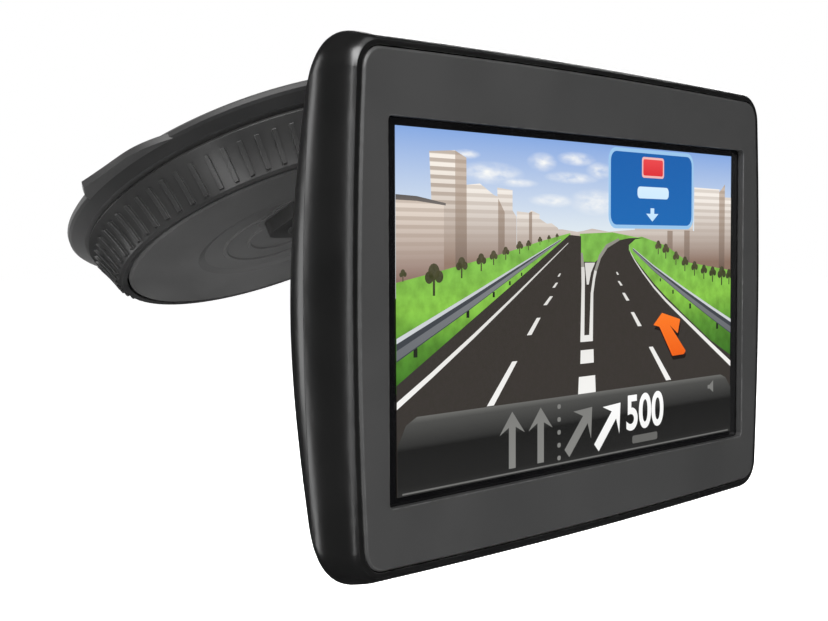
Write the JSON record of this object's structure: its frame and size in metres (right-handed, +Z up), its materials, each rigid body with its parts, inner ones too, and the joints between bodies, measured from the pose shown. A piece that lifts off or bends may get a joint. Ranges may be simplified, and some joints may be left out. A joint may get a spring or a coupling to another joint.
{
  "type": "portable gps navigator",
  "caption": "Wide touch-screen car navigator with a pillow-shaped housing, on a ball-jointed twist-lock windscreen suction mount.",
  "frame": {"origin": "centre of the suction cup's sealing lip, in the plane where it meets the windscreen", "axes": "+X to the driver's right across the display, +Y from the display to the windscreen, +Z up"},
  "size_m": [0.1185, 0.1145, 0.0824],
  "materials": {
    "cup_rubber": "soft dark grey rubber",
    "mount_plastic": "fine matte dark grey moulded plastic",
    "face_plastic": "satin dark grey moulded plastic",
    "ring_plastic": "satin dark grey moulded plastic",
    "screw_steel": "plated steel",
    "spring_steel": "spring steel",
    "white_plastic": "natural acetal plastic",
    "bezel_plastic": "fine-textured matte dark grey plastic",
    "display_glass": "clear touch panel glass",
    "foam": "closed-cell black foam",
    "stamped_steel": "stamped tinned steel",
    "clear_plastic": "polished light guide plastic",
    "lcd_glass": "LCD cell showing a map picture",
    "gloss_shell": "polished black plastic",
    "board_laminate": "green solder mask on laminate",
    "chip_plastic": "moulded black component plastic",
    "antenna_ceramic": "cream ceramic with a silvered face",
    "battery_foil": "silver pouch foil",
    "lead_plastic": "insulated wires and a white plug",
    "ribbon_film": "amber flexible circuit",
    "button_plastic": "polished black plastic"
  },
  "bodies": {
    "suction_base": {"suction_cup": "cup_rubber", "base_body": "mount_plastic", "face_plate": "face_plastic", "base_screws": "screw_steel", "support_arm": "mount_plastic", "arm_screws": "screw_steel"},
    "lock_ring": {"grip_ring": "ring_plastic"},
    "cup_plunger": {"lift_plunger": "white_plastic", "return_spring": "spring_steel"},
    "ball_liner": {"ball_liner": "white_plastic"},
    "dock": {"dock_plate": "mount_plastic", "socket_collar": "ring_plastic"},
    "navigator": {"front_bezel": "bezel_plastic", "touch_panel": "display_glass", "display_gasket": "foam", "display_tray": "stamped_steel", "light_guide": "clear_plastic", "lcd_cell": "lcd_glass", "front_shell": "gloss_shell", "middle_chassis": "stamped_steel", "chassis_screws": "screw_steel", "main_board": "board_laminate", "board_screws": "screw_steel", "processor": "chip_plastic", "memory_chip": "chip_plastic", "shield_can": "stamped_steel", "patch_antenna": "antenna_ceramic", "usb_socket": "stamped_steel", "card_socket": "stamped_steel", "power_switch": "chip_plastic", "battery_pad": "foam", "battery": "battery_foil", "battery_lead": "lead_plastic", "loudspeaker": "chip_plastic", "speaker_gasket": "foam", "display_ribbon": "ribbon_film", "touch_ribbon": "ribbon_film", "rear_shell": "gloss_shell", "case_screws": "screw_steel", "dock_ring": "mount_plastic", "dock_ring_screws": "screw_steel"},
    "power_button": {"power_button": "button_plastic"}
  },
  "joints": [
    {"name": "lock_turn", "type": "hinge", "parent": "suction_base", "child": "lock_ring", "pos_m": [0, 0, 0], "axis": [-0.0579, 0.4456, 0.8934], "range_deg": [0, 60]},
    {"name": "plunger_lift", "type": "slide", "parent": "suction_base", "child": "cup_plunger", "axis": [0.0579, -0.4456, -0.8934], "range_m": [0, 0.0025], "deforming": ["suction_cup", "return_spring"]},
    {"name": "ball_tilt", "type": "hinge", "parent": "suction_base", "child": "ball_liner", "pos_m": [0.00585, -0.04502, -0.01993], "axis": [1, 0, 0], "range_deg": [-14, 14]},
    {"name": "ball_turn", "type": "hinge", "parent": "ball_liner", "child": "dock", "pos_m": [0.00585, -0.04502, -0.01993], "axis": [0, 0, 1], "range_deg": [-14, 14]},
    {"name": "dock_swivel", "type": "hinge", "parent": "dock", "child": "navigator", "pos_m": [0.00585, -0.04502, -0.01993], "axis": [0, 1, 0], "range_deg": [-90, 90]},
    {"name": "power_press", "type": "slide", "parent": "navigator", "child": "power_button", "axis": [0, 0, -1], "range_m": [0, 0.0004], "stiffness_N_per_m": 400}
  ],
  "couplings": [
    {"joint": "plunger_lift", "follows": "lock_turn", "m_per_rad": 0.0023873}
  ]
}
